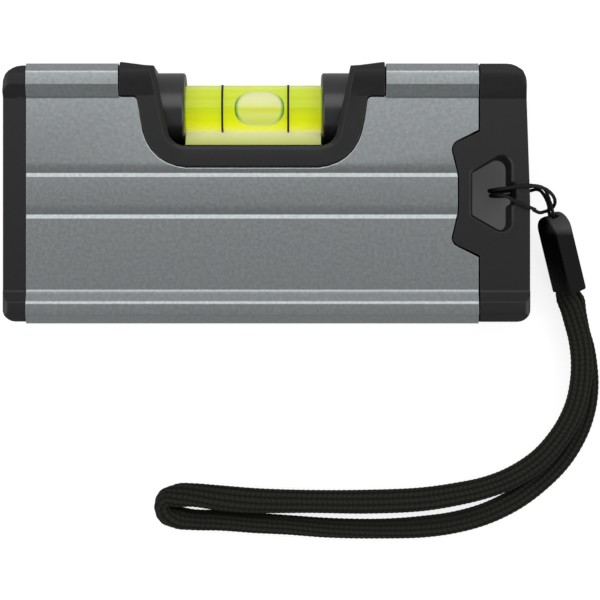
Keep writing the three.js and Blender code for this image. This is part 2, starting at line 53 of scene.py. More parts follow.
print("frame loaded with", len(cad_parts), "nodes")

# %% [markdown]
# The photograph looks straight down on the level from well above it, with a long lens. A camera
# without perspective would be simpler, but it would hide the walls of the lanyard hole, which just
# show in the photograph. A camera straight above, 60 cm over the front of the level, gives the
# same small amount of perspective.

# %% Camera
VIEW_CENTRE = (6.35 * MM, -20.375 * MM)
CAMERA_HEIGHT = 620 * MM
LENS_MM = 190.4
SENSOR_MM = 36

camera_data = bpy.data.cameras.new("camera")
camera_data.lens = LENS_MM
camera_data.sensor_width = SENSOR_MM
camera = bpy.data.objects.new("camera", camera_data)
camera.location = (*VIEW_CENTRE, CAMERA_HEIGHT)
bpy.context.scene.collection.objects.link(camera)
bpy.context.scene.camera = camera
bpy.context.scene.view_settings.view_transform = "Standard"
print("camera at", [round(v, 4) for v in camera.location])


# %% [markdown]
# Colours are written as sRGB hex values, as a paint chart gives them, and one function turns them
# to the linear values that Blender computes with. A material is a tree of nodes. In Python every
# node, setting and link could have a line of its own, but then a material would fill a page. So
# one small function adds a node with its settings and its links.

# %% Colours and nodes
def linear(hex_colour):
    """An sRGB hex colour as linear red, green, blue and alpha."""
    parts = [int(hex_colour[i : i + 2], 16) / 255 for i in (1, 3, 5)]
    return [p / 12.92 if p <= 0.04045 else ((p + 0.055) / 1.055) ** 2.4 for p in parts] + [1]


def connect(tree, node, **inputs):
    """Sets inputs of a node, each to a value, a socket to link from or a node's first output.

    A space in an input's name is written _, and input 2 can also be called _2.
    """
    for name, value in inputs.items():
        key = int(name[1:]) if name[1:].isdigit() else name.replace("_", " ")
        source = value.outputs[0] if isinstance(value, bpy.types.Node) else value
        if isinstance(source, bpy.types.NodeSocket):
            tree.links.new(source, node.inputs[key])
        else:
            node.inputs[key].default_value = source


def add(tree, kind, settings=None, stops=(), **inputs):
    """Adds a node with settings and inputs. stops are a ramp's (position, hex colour) pairs."""
    node = tree.nodes.new("ShaderNode" + kind)
    for name, value in (settings or {}).items():
        setattr(node, name, value)
    if stops:
        elements = node.color_ramp.elements
        while len(elements) < len(stops):
            elements.new(0.5)
        for element, (position, colour) in zip(elements, stops):
            element.position = position
            element.color = linear(colour)
    connect(tree, node, **inputs)
    return node


print("the grey #808080 is", round(linear("#808080")[0], 3), "of white in linear light")


# %% Materials and places
def new_material(name, **inputs):
    """A material with a Principled shader, and its node tree and shader."""
    material = bpy.data.materials.new(name)
    material.use_nodes = True
    tree = material.node_tree
    shader = tree.nodes["Principled BSDF"]
    connect(tree, shader, **inputs)
    return material, tree, shader


def object_place(tree):
    """The X, Y and Z of a point on its piece, in metres, as sockets."""
    where = add(tree, "TexCoord").outputs["Object"]
    return add(tree, "SeparateXYZ", Vector=where).outputs


print("a material starts from Blender's Principled shader")

# %% [markdown]
# The table is pale paper. It could be made white by more light, but that light would fall on the
# level too. So the paper is a middle grey that keeps the shadow of the level, and rays from the
# camera see it lifted to white by a glow. Gloss and clear pieces see a share of that glow, and it
# lights nothing. Right under the level the paper isn't lifted: there the lanyard hole shows the
# table in deep shadow. Only the strip over the vial is, since it lies open to the top edge.

# %% Rays and distances
def background_rays(tree):
    """Sockets that are 1 for rays from the camera, and for rays off gloss or through glass."""
    path = add(tree, "LightPath").outputs
    seen = add(
        tree, "Math", {"operation": "MAXIMUM"},
        _0=path["Is Glossy Ray"], _1=path["Is Transmission Ray"])
    return path["Is Camera Ray"], seen


def past(tree, value, middle, reach):
    """How far value lies further than reach from middle."""
    offset = add(tree, "Math", {"operation": "SUBTRACT"}, _0=value, _1=middle)
    away = add(tree, "Math", {"operation": "ABSOLUTE"}, _0=offset)
    return add(tree, "Math", {"operation": "SUBTRACT"}, _0=away, _1=reach)


print("rays are told apart by Light Path")

# %% Table
TABLE_SIZE = 4.0
TABLE_LEVEL = -0.02 * MM
PAPER = "#a8a8a8"
PAPER_LIFT = 0.81
PAPER_GLOSS_SHARE = 0.2
UNDER_LIFT = 0.05
UNDER_FADE = 2 * MM
LEVEL_HALF_LENGTH = 50 * MM
LEVEL_HALF_HEIGHT = 24.5 * MM
STRIP_MIDDLE = -2.65 * MM
STRIP_HALF = 25 * MM
STRIP_FOOT = 20.8 * MM
STRIP_DARK_AT = 0.6 * MM
STRIP_WHITE_AT = -0.3 * MM

bpy.ops.mesh.primitive_plane_add(size=TABLE_SIZE, location=(0, 0, TABLE_LEVEL))
table = bpy.context.object
table.name = "table"
paper, tree, shader = new_material(
    "paper_white_matt", Base_Color=linear(PAPER), Roughness=0.9, Specular_IOR_Level=0.2)
x, y, _ = object_place(tree)
beside = add(
    tree, "Math", {"operation": "MAXIMUM"},
    _0=past(tree, x, 0.0, LEVEL_HALF_LENGTH), _1=past(tree, y, 0.0, LEVEL_HALF_HEIGHT))
outside = add(tree, "MapRange", Value=beside, From_Min=-UNDER_FADE, From_Max=0.0)
below_strip = add(tree, "Math", {"operation": "SUBTRACT"}, _0=STRIP_FOOT, _1=y)
off_strip = add(
    tree, "Math", {"operation": "MAXIMUM"},
    _0=past(tree, x, STRIP_MIDDLE, STRIP_HALF), _1=below_strip)
strip = add(
    tree, "MapRange", Value=off_strip, From_Min=STRIP_DARK_AT, From_Max=STRIP_WHITE_AT)
seen_white = add(tree, "Math", {"operation": "MAXIMUM"}, _0=outside, _1=strip)
lift_by_place = add(tree, "MapRange", Value=seen_white, To_Min=UNDER_LIFT, To_Max=PAPER_LIFT)
from_camera, from_gloss = background_rays(tree)
gloss_share = add(
    tree, "Math", {"operation": "MULTIPLY"}, _0=from_gloss, _1=PAPER_GLOSS_SHARE)
lift = add(tree, "Math", {"operation": "MAXIMUM"}, _0=from_camera, _1=gloss_share)
strength = add(tree, "Math", {"operation": "MULTIPLY"}, _0=lift, _1=lift_by_place)
connect(tree, shader, Emission_Color=(1, 1, 1, 1), Emission_Strength=strength)
table.data.materials.append(paper)
print("table of", TABLE_SIZE, "m, lifted by", PAPER_LIFT)

# %% [markdown]
# The room lights the level from all round. An even grey room would be the simplest, but in it the
# metal looks flat. So it is darker on the side of the strap, and dimmed right overhead, where a
# camera keeps the light away and where the flat sides mirror it. The camera itself sees white
# behind the table, and gloss and clear pieces see a small share of that white.

# %% Room
ROOM_DIM = 0.175
ROOM_GAIN = 0.265
ZENITH_DIP = 0.11
ZENITH_NARROWNESS = 4.0
WHITE_SHARE = 0.05

world = bpy.data.worlds.new("studio")
bpy.context.scene.world = world
world.use_nodes = True
tree = world.node_tree
tree.nodes.clear()
direction = add(tree, "TexCoord").outputs["Generated"]
_, y, z = add(tree, "SeparateXYZ", Vector=direction).outputs
up_level = add(tree, "MapRange", Value=y, From_Min=-1.0, From_Max=1.0)
sides = add(
    tree, "Math", {"operation": "MULTIPLY_ADD"}, _0=up_level, _1=ROOM_GAIN, _2=ROOM_DIM)
above = add(tree, "Math", {"operation": "MAXIMUM"}, _0=z, _1=0.0)
overhead = add(tree, "Math", {"operation": "POWER"}, _0=above, _1=ZENITH_NARROWNESS)
dip = add(tree, "Math", {"operation": "MULTIPLY"}, _0=overhead, _1=ZENITH_DIP)
room = add(tree, "Math", {"operation": "SUBTRACT"}, _0=sides, _1=dip)
from_camera, from_gloss = background_rays(tree)
gloss_share = add(tree, "Math", {"operation": "MULTIPLY"}, _0=from_gloss, _1=WHITE_SHARE)
seen = add(tree, "Math", {"operation": "MAXIMUM"}, _0=from_camera, _1=gloss_share)
dim = add(tree, "Background", Color=(1, 1, 1, 1), Strength=room)
white = add(tree, "Background", Color=(1, 1, 1, 1), Strength=1.0)
mixed = add(tree, "MixShader", Fac=seen, _1=dim, _2=white)
add(tree, "OutputWorld", Surface=mixed)
print("room from", ROOM_DIM, "to", round(ROOM_DIM + ROOM_GAIN, 3))

# %% [markdown]
# The bright lines along the grooves and edges are small faces that lean about 20 degrees towards
# the top edge of the level. A small lamp there would give hard sparks, so a broad soft box is
# used. It begins close to the zenith and near the level, so that its edge runs softly through the
# flat sides: they are lighter above than below. Two more boxes left and right brighten the table:
# no face of the profile leans that way, so they never show in the metal.

# %% Lamps
# Cycles gives an area lamp the radiance of its watts over four times its area
WATTS_PER_RADIANCE = 4
# Name, place, width and height in metres, and radiance
SOFT_BOXES = (
    ("top_edge_box", (0.0, 0.2127, 0.419), (1.0, 0.328), 0.71),
    ("left_box", (-0.6, -0.25, 0.35), (0.9, 0.8), 0.9),
    ("right_box", (0.6, -0.25, 0.35), (0.9, 0.8), 0.9),
)

for name, spot, (width, height), radiance in SOFT_BOXES:
    data = bpy.data.lights.new(name, "AREA")
    data.shape = "RECTANGLE"
    data.size = width
    data.size_y = height
    data.energy = radiance * WATTS_PER_RADIANCE * width * height
    lamp = bpy.data.objects.new(name, data)
    lamp.location = spot
    lamp.rotation_euler = (-Vector(spot)).to_track_quat("-Z", "Y").to_euler()
    bpy.context.scene.collection.objects.link(lamp)
    print(name, "of", round(data.energy, 2), "W")

# %% [markdown]
# A cord is a section carried along a smooth line. A curve object with a bevel would carry one
# too, but not a section that changes from stitch to stitch, so the rings are computed here. The
# line goes through points chosen on the photograph, and a flat cord also has a roll at
# each point, which says how far its flat side is turned from lying on the table. The line is
# resampled to even steps, so that a braid drawn along it keeps the same stitch everywhere.

# %% Smooth lines
SPLINE_STEPS = 24


def smooth_line(points, step, extras=None):
    """Even points on a centripetal spline through points, and extras carried along with them."""
    points = np.array(points, float)
    extras = np.zeros((len(points), 1)) if extras is None else np.array(extras, float)
    rows = np.hstack([points, extras])
    rows = np.vstack([2 * rows[0] - rows[1], rows, 2 * rows[-1] - rows[-2]])
    fine = []
    for i in range(1, len(rows) - 2):
        p0, p1, p2, p3 = rows[i - 1 : i + 3]
        t = [0.0]
        for a, b in ((p0, p1), (p1, p2), (p2, p3)):
            t.append(t[-1] + np.linalg.norm(b[:3] - a[:3]) ** 0.5)
        for u in np.linspace(t[1], t[2], SPLINE_STEPS, endpoint=False):
            a1 = (t[1] - u) / (t[1] - t[0]) * p0 + (u - t[0]) / (t[1] - t[0]) * p1
            a2 = (t[2] - u) / (t[2] - t[1]) * p1 + (u - t[1]) / (t[2] - t[1]) * p2
            a3 = (t[3] - u) / (t[3] - t[2]) * p2 + (u - t[2]) / (t[3] - t[2]) * p3
            b1 = (t[2] - u) / (t[2] - t[0]) * a1 + (u - t[0]) / (t[2] - t[0]) * a2
            b2 = (t[3] - u) / (t[3] - t[1]) * a2 + (u - t[1]) / (t[3] - t[1]) * a3
            fine.append((t[2] - u) / (t[2] - t[1]) * b1 + (u - t[1]) / (t[2] - t[1]) * b2)
    fine = np.array(fine + [rows[-2]])
    along = np.concatenate([[0], np.cumsum(np.linalg.norm(np.diff(fine[:, :3], axis=0), axis=1))])
    count = max(2, round(along[-1] / step) + 1)
    even = np.linspace(0, along[-1], count)
    resampled = np.column_stack([np.interp(even, along, fine[:, k]) for k in range(fine.shape[1])])
    return resampled[:, :3], resampled[:, 3:], even


def length_of(line):
    """The length of a line of points, in metres."""
    return float(np.linalg.norm(np.diff(line, axis=0), axis=1).sum())


metre = smooth_line([(0, 0, 0), (1, 0, 0)], step=0.1)[0]
print("a straight metre has", len(metre), "points and measures", round(length_of(metre), 3), "m")


# %% Swept sections
def sweep(name, line, sides, ups, section, along, tile):
    """A closed tube. section(i) gives the (side, up) offsets of ring i, first to last round it."""
    verts, faces = [], []
    rings = len(line)
    for i in range(rings):
        offsets = section(i)
        verts.extend(line[i] + offsets[:, :1] * sides[i] + offsets[:, 1:] * ups[i])
    count = len(offsets)
    for i in range(rings - 1):
        for k in range(count):
            n = (k + 1) % count
            faces.append((i * count + k, i * count + n, (i + 1) * count + n, (i + 1) * count + k))
    faces.append(tuple(range(count))[::-1])
    faces.append(tuple((rings - 1) * count + k for k in range(count)))
    mesh = bpy.data.meshes.new(name)
    mesh.from_pydata([tuple(v) for v in verts], [], faces)
    layer = mesh.uv_layers.new(name="UVMap")
    uvs = []
    for i in range(rings - 1):
        for k in range(count):
            u0, u1 = k / count, (k + 1) / count
            v0, v1 = along[i] / tile, along[i + 1] / tile
            uvs += [u0, v0, u1, v0, u1, v1, u0, v1]
    uvs += [0.5, 0.0] * (2 * count)
    layer.data.foreach_set("uv", uvs)
    mesh.validate()
    piece = bpy.data.objects.new(name, mesh)
    bpy.context.scene.collection.objects.link(piece)
    mesh.shade_smooth()
    return piece


print("a ring is joined to the next by one face a side")


# %% Directions along a line
def flat_frames(line, rolls):
    """Side and up directions: side lies level across the line, then both turn by the roll."""
    tangents = np.gradient(line, axis=0)
    tangents /= np.linalg.norm(tangents, axis=1)[:, None]
    level = np.cross(np.array([0, 0, 1.0]), tangents)
    level /= np.linalg.norm(level, axis=1)[:, None]
    up = np.cross(tangents, level)
    c, s = np.cos(rolls)[:, None], np.sin(rolls)[:, None]
    return c * level + s * up, c * up - s * level


def carried_frames(line, first_side):
    """Side and up directions that are carried along the line without twisting."""
    tangents = np.gradient(line, axis=0)
    tangents /= np.linalg.norm(tangents, axis=1)[:, None]
    side = np.array(first_side, float)
    sides = []
    for tangent in tangents:
        side = side - tangent * side.dot(tangent)
        side /= np.linalg.norm(side)
        sides.append(side)
    sides = np.array(sides)
    return sides, np.cross(tangents, sides)


print("side directions lie level for a flat cord, and are carried without twist for a round one")

# %% [markdown]
# The wrist strap is a tubular braid pressed flat: ten ribs run round it, and each rib is a row
# of small slanting stitches, which lean one way in one rib and the other way in the next. A bump
# in the material could show them, but on the real strap they catch the light, so the stitches
# are relief in the mesh. The strap comes out of the buckle pinched and on edge, untwists to lie
# flat, stands up where it is folded back, and turns over there, so that its outer side lies on
# top on the way back. At the right bend the second run lies on the first.

# %% Route of the strap
# In millimetres: the routes of both cords were laid a little too high, and this lowers them
SHIFT_Y = -0.175

# x, y, z in millimetres, roll in degrees, width and thickness as shares of the whole
STRAP_ROUTE = [
    (59.25, -16.6, 3.6, 58, 0.9, 0.46),
    (59.4, -18.3, 2.7, 52, 0.93, 0.5),
    (59.7, -20.0, 2.0, 30, 1, 0.8),
    (59.95, -22.0, 1.6, 10, 1, 1),
    (60.3, -24.1, 1.45, 0, 1, 1),
    (60.8, -26.6, 1.45, 0, 1, 1),
    (61.6, -29.4, 1.45, 0, 1, 1),
    (62.2, -33.1, 1.45, 0, 1, 1),
    (62.4, -37.0, 1.45, 0, 1, 1),
    (61.9, -41.3, 1.45, 0, 1, 1),
    (60.3, -46.1, 1.45, 0, 1, 1),
    (57.2, -51.2, 1.45, 0, 1, 1),
    (53.1, -55.4, 1.45, 0, 1, 1),
    (48.3, -59.0, 1.45, 0, 1, 1),
    (42.6, -61.8, 1.45, 0, 1, 1),
    (36.6, -63.5, 1.45, 0, 1, 1),
    (30.0, -64.4, 1.45, 2, 1, 1),
    (21.9, -64.75, 1.5, 10, 0.91, 1),
    (12.4, -64.6, 1.65, 22, 0.9, 1),
    (4.0, -64.0, 1.85, 34, 0.92, 1),
    (-2.4, -63.6, 1.95, 40, 1, 1),
    (-9.0, -63.1, 2.1, 45, 1.04, 1.06),
    (-14.5, -62.95, 2.25, 50, 1.08, 1.14),
    (-17.6, -62.5, 2.45, 52, 1.14, 1.3),
    (-19.6, -61.95, 2.6, 74, 1.02, 1.34),
    (-20.55, -60.5, 2.6, 92, 0.95, 1.15),
    (-19.7, -58.8, 2.65, 112, 1.02, 1.32),
    (-17.6, -58.2, 3.0, 132, 1.2, 1.2),
    (-14.5, -58.1, 3.2, 150, 1.1, 1.06),
    (-8.9, -58.7, 3.4, 163, 1.16, 1),
    (-2.4, -59.2, 3.0, 172, 1.14, 1),
    (8.7, -59.42, 2.1, 178, 1.06, 1),
    (20.0, -59.5, 1.45, 180, 1.1, 1),
    (30.0, -59.05, 1.45, 180, 1.09, 1),
    (37.0, -58.0, 1.6, 180, 1.05, 1),
    (42.6, -56.65, 2.5, 180, 1, 1),
    (47.6, -54.6, 3.8, 180, 1, 1),
    (52.5, -51.4, 4.3, 180, 1, 1),
    (55.6, -48.2, 4.35, 180, 1, 1),
    (58.2, -44.4, 4.35, 180, 1, 1),
    (60.0, -40.2, 4.35, 180, 1, 1),
    (60.85, -35.9, 4.35, 180, 1, 1),
    (61.0, -31.7, 4.35, 180, 1, 1),
    (60.5, -27.6, 4.35, 180, 1, 1),
    (59.65, -24.4, 4.35, 176, 1, 1),
    (58.8, -21.4, 4.35, 165, 1, 0.95),
    (57.95, -19.6, 4.3, 145, 1, 0.7),
    (57.4, -18.1, 4.35, 126, 0.95, 0.5),
    (57.3, -16.8, 4.6, 122, 0.9, 0.46),
]
print("the strap goes through", len(STRAP_ROUTE), "points")

# %% Outline of the strap
STRAP_WIDTH = 4.4 * MM
STRAP_THICKNESS = 2.6 * MM
# 1 would draw the section as an oval, and a lower power is squarer
OVAL_POWER = 0.75
OVAL_STEPS = 2000


def zigzag(x):
    """Runs from 0 up to 1 and back to 0 while x goes from 0 to 2."""
    return 1 - np.abs(1 - np.mod(x, 2))


def even_outline(turn):
    """Unit offsets round a flattened oval, evenly spaced so that every rib is equally wide."""
    angle = np.linspace(0, 2 * math.pi, OVAL_STEPS + 1)
    x = np.sign(np.cos(angle)) * np.abs(np.cos(angle)) ** OVAL_POWER
    y = np.sign(np.sin(angle)) * np.abs(np.sin(angle)) ** OVAL_POWER
    steps = np.hypot(np.diff(x) * STRAP_WIDTH, np.diff(y) * STRAP_THICKNESS)
    along = np.concatenate([[0], np.cumsum(steps)])
    return np.interp(turn * along[-1], along, x), np.interp(turn * along[-1], along, y)


print("the flat braid is", STRAP_WIDTH / MM, "by", STRAP_THICKNESS / MM, "mm")

# %% Strap
STITCH = 1.0 * MM
RIBS = 10
RIB_FACETS = 6
RIB_DEPTH = 0.24 * MM
RIB_FULLNESS = 0.7
STITCH_DEPTH = 0.07 * MM
# How much darker the gaps between stitches are painted: painted shade
STITCH_CONTRAST = 0.45
STITCH_LEAN = 0.5
STRAP_STEP = 0.16 * MM

# The lower run gets a painted shade where the upper run covers it: how much, by x in millimetres
SHADE_X = (-22, -18, 0, 14, 40, 50)
SHADE = (0.0, 1.0, 0.9, 0.6, 0.4, 0.0)
# The painted shade across it: full at the edge under the upper run, and none a little past the
# middle
SHADE_MIDDLE = 0.35
SHADE_SLOPE = 1.5


def make_strap():
    """The strap as a piece with its weave and painted shade as an attribute, and the line that it
    follows.
    """
    route = np.array(STRAP_ROUTE, float)
    points = (route[:, :3] + [0, SHIFT_Y, 0]) * MM
    line, extras, along = smooth_line(points, STRAP_STEP, route[:, 3:])
    sides, ups = flat_frames(line, np.radians(extras[:, 0]))
    turn = np.arange(RIBS * RIB_FACETS) / (RIBS * RIB_FACETS)
    round_x, round_y = even_outline(turn)
    rib = np.abs(np.sin(math.pi * turn * RIBS)) ** RIB_FULLNESS
    lean = zigzag(turn * RIBS)
    fold = int(np.argmin(line[:, 0]))
    painted_shades = []

    def section(i):
        width = STRAP_WIDTH * extras[i, 1] / 2
        thickness = STRAP_THICKNESS * extras[i, 2] / 2
        gap = 0.5 + 0.5 * np.cos(2 * math.pi * (along[i] / STITCH + STITCH_LEAN * lean))
        # crest is painted shade for the colour: 1 on a rib, lower in its hollows and between
        # stitches
        crest = rib * (1 - STITCH_CONTRAST * gap)
        if i < fold:
            hidden = np.interp(line[i, 0] / MM, SHADE_X, SHADE)
            crest *= 1 - hidden * np.clip(SHADE_MIDDLE - SHADE_SLOPE * round_x, 0, 1)
        painted_shades.extend(crest)
        inset = RIB_DEPTH * (1 - rib) + STITCH_DEPTH * gap * rib
        return np.column_stack([round_x * (width - inset), round_y * (thickness - inset)])

    piece = sweep("strap_braided", line, sides, ups, section, along, STITCH)
    weave_shade = piece.data.attributes.new("weave_shade", "FLOAT", "POINT")
    weave_shade.data.foreach_set("value", np.array(painted_shades, np.float32))
    return piece, line


strap, strap_line = make_strap()
print("strap", round(length_of(strap_line) / MM, 1), "mm,", len(strap.data.polygons), "faces")

# %% [markdown]
# The thread is twisted from three thin yarns and is less than a millimetre thick. Three separate
# yarns wound round each other would look the same at this size, so one tube has three lobes that
# turn along it. The thread leaves the buckle, runs round the back of the bar beside the lanyard
# hole, comes up through the hole, goes over its own standing part and back the same way: the
# hitch that every phone strap is tied with.

# %% Thread
THREAD_DIAMETER = 0.7 * MM
THREAD_LAY = 1.5 * MM
THREAD_PLIES = 3
THREAD_GROOVE = 0.07 * MM
THREAD_FACETS = 18
THREAD_STEP = 0.12 * MM
# x, y and z in millimetres
THREAD_ROUTE = [
    (55.65, -5.85, 8.05), (55.3, -4.6, 8.5), (55.05, -3.5, 8.9), (54.8, -2.5, 9.3),
    (54.5, -1.4, 9.1), (54.2, -0.2, 7.8), (53.95, 0.9, 6.0), (53.4, 1.65, 3.9), (52.4, 2.0, 2.1),
    (51.2, 1.9, 1.0), (49.6, 1.6, 0.6), (47.6, 1.2, 0.6), (46.0, 0.95, 1.1), (44.3, 0.85, 3.0),
    (43.1, 0.8, 6.3), (42.75, 0.8, 10.0), (43.1, 0.8, 14.0), (44.0, 0.85, 17.3),
    (45.4, 1.0, 18.9), (47.2, 1.25, 19.25), (49.3, 1.5, 19.4), (50.75, 1.45, 18.9),
    (51.9, 1.25, 17.0), (53.2, 0.95, 14.8), (54.4, 0.2, 12.7), (55.15, -0.6, 10.7),
    (55.45, -1.45, 8.8), (55.2, -2.25, 7.2), (54.5, -2.8, 6.5), (53.55, -3.15, 7.1),
    (52.55, -3.4, 9.2), (51.6, -3.2, 12.0), (50.95, -3.05, 14.8), (50.95, -3.05, 17.3),
    (50.6, -2.95, 18.95), (49.1, -2.4, 19.4), (47.2, -1.55, 19.25), (45.6, -0.6, 19.0),
    (44.2, -0.25, 17.6), (43.3, -0.1, 14.0), (43.0, -0.1, 10.0), (43.35, -0.1, 6.2),
    (44.5, -0.05, 2.9), (46.1, 0.05, 1.1), (47.7, 0.3, 0.6), (49.6, 0.6, 0.6),
    (51.1, 1.05, 0.7), (52.2, 1.35, 1.35), (52.95, 1.15, 2.7), (53.5, 0.4, 4.6),
    (54.0, -0.8, 6.5), (54.3, -2.1, 8.0), (54.4, -3.3, 7.8), (54.67, -4.55, 7.4),
    (54.97, -5.65, 7.05),
]


def make_thread():
    """The thread as a piece, and the line that it follows."""
    points = (np.array(THREAD_ROUTE) + [0, SHIFT_Y, 0]) * MM
    line, _, along = smooth_line(points, THREAD_STEP)
    sides, ups = carried_frames(line, (1, 0, 0))
    angle = 2 * math.pi * np.arange(THREAD_FACETS) / THREAD_FACETS

    def section(i):
        twist = 2 * math.pi * along[i] / (THREAD_LAY * THREAD_PLIES)
        lobe = np.abs(np.cos(THREAD_PLIES / 2 * (angle - twist)))
        radius = THREAD_DIAMETER / 2 - THREAD_GROOVE * (1 - lobe) ** 2
        return np.column_stack([np.cos(angle) * radius, np.sin(angle) * radius])

    return sweep("thread_twisted", line, sides, ups, section, along, THREAD_LAY), line


thread, thread_line = make_thread()
print("thread", round(length_of(thread_line) / MM, 1), "mm long")

# %% [markdown]
# The hard pieces already have the right shape in the frame, but every edge there is knife sharp.
# Real extrusions and mouldings have small radii, and these draw the bright lines along the
# edges. The pieces could be modelled again with their radii, but then two shapes would have to be
# kept alike. So each solid is copied, its loose triangles are merged and joined to whole faces,
# and its edges are bevelled by the radius that such a piece has.

# %% Copies of the solids
MERGE_WITHIN = 0.002 * MM
FLAT_WITHIN = math.radians(1)


def only(obj):
    """Selects this object alone and makes it active."""
    bpy.ops.object.select_all(action="DESELECT")
    obj.select_set(True)
    bpy.context.view_layer.objects.active = obj


def copy_of(node, name):
    """A merged copy of a node's mesh, with its flat sides joined to whole faces."""
    piece = bpy.data.objects.new(name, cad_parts[node].data.copy())
    piece.data.materials.clear()
    bpy.context.scene.collection.objects.link(piece)
    only(piece)
    bpy.ops.object.mode_set(mode="EDIT")
    bpy.ops.mesh.select_all(action="SELECT")
    bpy.ops.mesh.remove_doubles(threshold=MERGE_WITHIN)
    bpy.ops.mesh.dissolve_limited(angle_limit=FLAT_WITHIN)
    bpy.ops.object.mode_set(mode="OBJECT")
    return piece


print("copies are merged within", MERGE_WITHIN / MM, "mm")

# %% Soften and place
# 100 lets the largest faces at a corner rule its shading
FLAT_FACE_WEIGHT = 100


def soften(piece, radius, segments, angle):
    """Rounds the edges that turn by more than angle, and keeps the flat sides flat."""
    only(piece)
    bpy.ops.object.shade_smooth()
    bevel = piece.modifiers.new("edges", "BEVEL")
    bevel.width = radius
    bevel.segments = segments
    bevel.limit_method = "ANGLE"
    bevel.angle_limit = math.radians(angle)
    bevel.use_clamp_overlap = False
    bevel.miter_outer = "MITER_ARC"
    bpy.ops.object.modifier_apply(modifier=bevel.name)
    flatten = piece.modifiers.new("flat sides", "WEIGHTED_NORMAL")
    flatten.mode = "FACE_AREA"
    flatten.weight = FLAT_FACE_WEIGHT
    bpy.ops.object.modifier_apply(modifier=flatten.name)
    return piece


def place(piece, material, slot, *nodes, body="level"):
    """Gives a piece its material, the nodes that it stands for and its body. slot is not used."""
    piece.data.materials.clear()
    piece.data.materials.append(material)
    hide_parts(*nodes)
    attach(piece, body)
    return piece


print("pieces ride on the body level or bubble")

# %% [markdown]
# The section of the profile is drawn in the frame with steps and straight grooves. On the real
# one the steps beside the rails are slopes, the flanks of the grooves are a little shallower, and
# the upper side leans by less than half a degree. A new extrusion would lose the seat and the
# notch that are cut into the solid, so the corners of the copy are moved, each from its drawn
# place to its worn one, on the front and on the back.

# %% Drawn and worn section
MIDDLE_Z = 10.0
# y and z in millimetres of each corner of the front, from the lower rail to the upper one
DRAWN = np.array([
    (-20.775, 20.0), (-18.675, 18.9), (-18.675, 18.5), (-4.925, 18.5), (-4.025, 18.2),
    (-3.725, 18.2), (-2.225, 18.5), (2.975, 18.5), (3.875, 18.2), (4.175, 18.2), (5.675, 18.5),
    (18.325, 18.5), (18.325, 18.9), (20.425, 20.0), (22.875, 20.0)])
WORN = np.array([
    (-20.775, 20.0), (-19.0, 18.69), (-18.47, 18.5), (-4.9, 18.5), (-4.2, 18.28),
    (-3.55, 18.37), (-2.225, 18.5), (3.0, 18.5), (3.7, 18.28), (4.35, 18.38), (5.675, 18.5),
    (17.9, 18.42), (18.25, 18.75), (20.425, 20.0), (23.1, 20.0)])
# The corners of the flat side that the seat and the notch cut
UPPER_SIDE = slice(7, 12)
CORNER_WITHIN = 0.02


def wear_section(piece, inset):
    """Moves the corners of the drawn section to where they lie on the worn one, on both faces.

    The seat and the notch cut the upper side between its corners: their points follow it.
    """
    moved = 0
    for vertex in piece.data.vertices:
        y, z = vertex.co.y / MM, vertex.co.z / MM
        face = 1 if z > MIDDLE_Z else -1
        height = MIDDLE_Z + abs(z - MIDDLE_Z) + inset
        apart = np.hypot(DRAWN[:, 0] - y, DRAWN[:, 1] - height)
        if apart.min() < CORNER_WITHIN:
            y, height = WORN[apart.argmin()]
        elif abs(height - np.interp(y, *DRAWN[UPPER_SIDE].T)) < CORNER_WITHIN:
            height = np.interp(y, *WORN[UPPER_SIDE].T)
        else:
            continue
        vertex.co.y = y * MM
        vertex.co.z = (MIDDLE_Z + face * (height - inset - MIDDLE_Z)) * MM
        moved += 1
    print(piece.name, "has", moved, "points on the worn section")


print("the section has", len(WORN), "corners on each face")

# %% [markdown]
# The seat of the vial is milled right through the upper side of the profile. In each face the
# cutter leaves a slanted rim, which catches the light. The long edges of the extrusion shine
# too where they face the lamp, and are drawn rounder there, as wide as their bright lines are in
# the photograph. A bevel by angle treats all edges alike, and selecting edges by hand can't be
# repeated, so a bevel by weight is used: a function gives each edge its share of the width.

# %% Weighted bevels
BENT = math.radians(10)


def bevel_by_weight(piece, width, segments, weight_of):
    """Bevels each edge by a share of the width. weight_of gets its ends and its sides' normals."""
    mesh = piece.data
    normals = {}
    for side in mesh.polygons:
        for key in side.edge_keys:
            normals.setdefault(key, []).append(side.normal.copy())
    weights = []
    for edge in mesh.edges:
        a, b = (mesh.vertices[i].co for i in edge.vertices)
        beside = normals[tuple(sorted(edge.vertices))]
        bent = len(beside) == 2 and beside[0].angle(beside[1]) > BENT
        weights.append(weight_of(a, b, *beside) if bent else 0.0)
    mesh.attributes.new("bevel_weight_edge", "FLOAT", "EDGE").data.foreach_set("value", weights)
    only(piece)
    bevel = piece.modifiers.new("by weight", "BEVEL")
    bevel.width = width
    bevel.segments = segments
    bevel.limit_method = "WEIGHT"
    bevel.loop_slide = False
    bevel.use_clamp_overlap = False
    bpy.ops.object.modifier_apply(modifier=bevel.name)
    used = piece.data.attributes.get("bevel_weight_edge")
    if used:
        piece.data.attributes.remove(used)
    print(piece.name, "has", sum(w > 0 for w in weights), "edges rounded by", width / MM, "mm")


print("edges that turn by less than", round(math.degrees(BENT)), "degrees are left alone")

# %% Shares of the edges
WIDEST_EDGE = 0.45 * MM
# What the long edges in the shade get, as a share of the widest
NARROW_EDGE = 0.14
LONG_EDGE = 2 * MM
LENGTHWISE = 0.99
SEAT_FOOT = 4.8 * MM
SEAT_HEAD = 17.6 * MM
SEAT_HALF = 23 * MM
SEAT_MIDDLE = -2.7 * MM
# How far a normal points to the front or back: on a wall of the seat, on a flat face, in the light
WALL_SLOPE = 0.05
FACE_SLOPE = 0.98
LIT_SLOPES = (0.1, math.cos(math.radians(25)))
# Between these distances from the middle of the thickness lies the flat face
FACE_DEPTHS = (8.2 * MM, 8.6 * MM)


def by_seat(point):
    """Whether a point lies in or round the seat, seen from the front."""
    return abs(point.x - SEAT_MIDDLE) < SEAT_HALF and SEAT_FOOT < point.y < SEAT_HEAD


